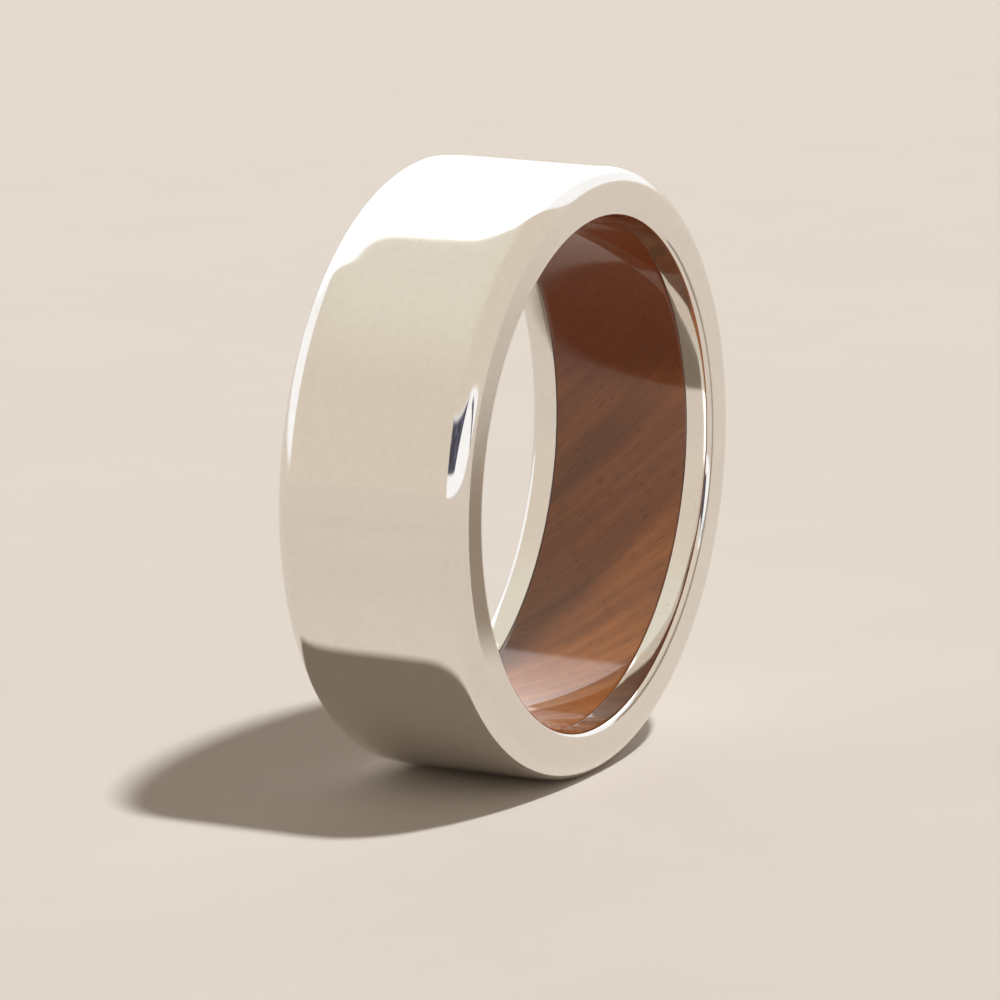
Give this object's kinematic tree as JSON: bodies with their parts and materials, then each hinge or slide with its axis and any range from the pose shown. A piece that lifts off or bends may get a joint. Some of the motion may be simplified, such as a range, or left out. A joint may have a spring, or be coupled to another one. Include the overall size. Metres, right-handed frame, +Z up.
{
  "type": "wedding band",
  "caption": "Wide polished white-metal finger ring with a flat outer face, rounded shoulders and a glossy bent-wood lining inlaid flush in its bore.",
  "frame": {"origin": "centre of the ring: on the axis of the bore, halfway across the band's width", "axes": "+Y along the ring's axis, +Z up with the ring standing on its rim, +X completes a right-handed frame; the wood's scarf joint is at -X"},
  "size_m": [0.024, 0.008, 0.024],
  "materials": {
    "white_metal": "mirror polished white gold, slightly warm",
    "glue": "cured amber adhesive",
    "liner_wood": "fine reddish-brown hardwood with soft diagonal figure",
    "clear_gloss": "clear hard gloss coat, polished flush with the metal lips"
  },
  "bodies": {
    "root": {"metal_band": "white_metal", "glue_bed": "glue", "wood_liner": "liner_wood", "clear_finish": "clear_gloss"}
  },
  "joints": []
}
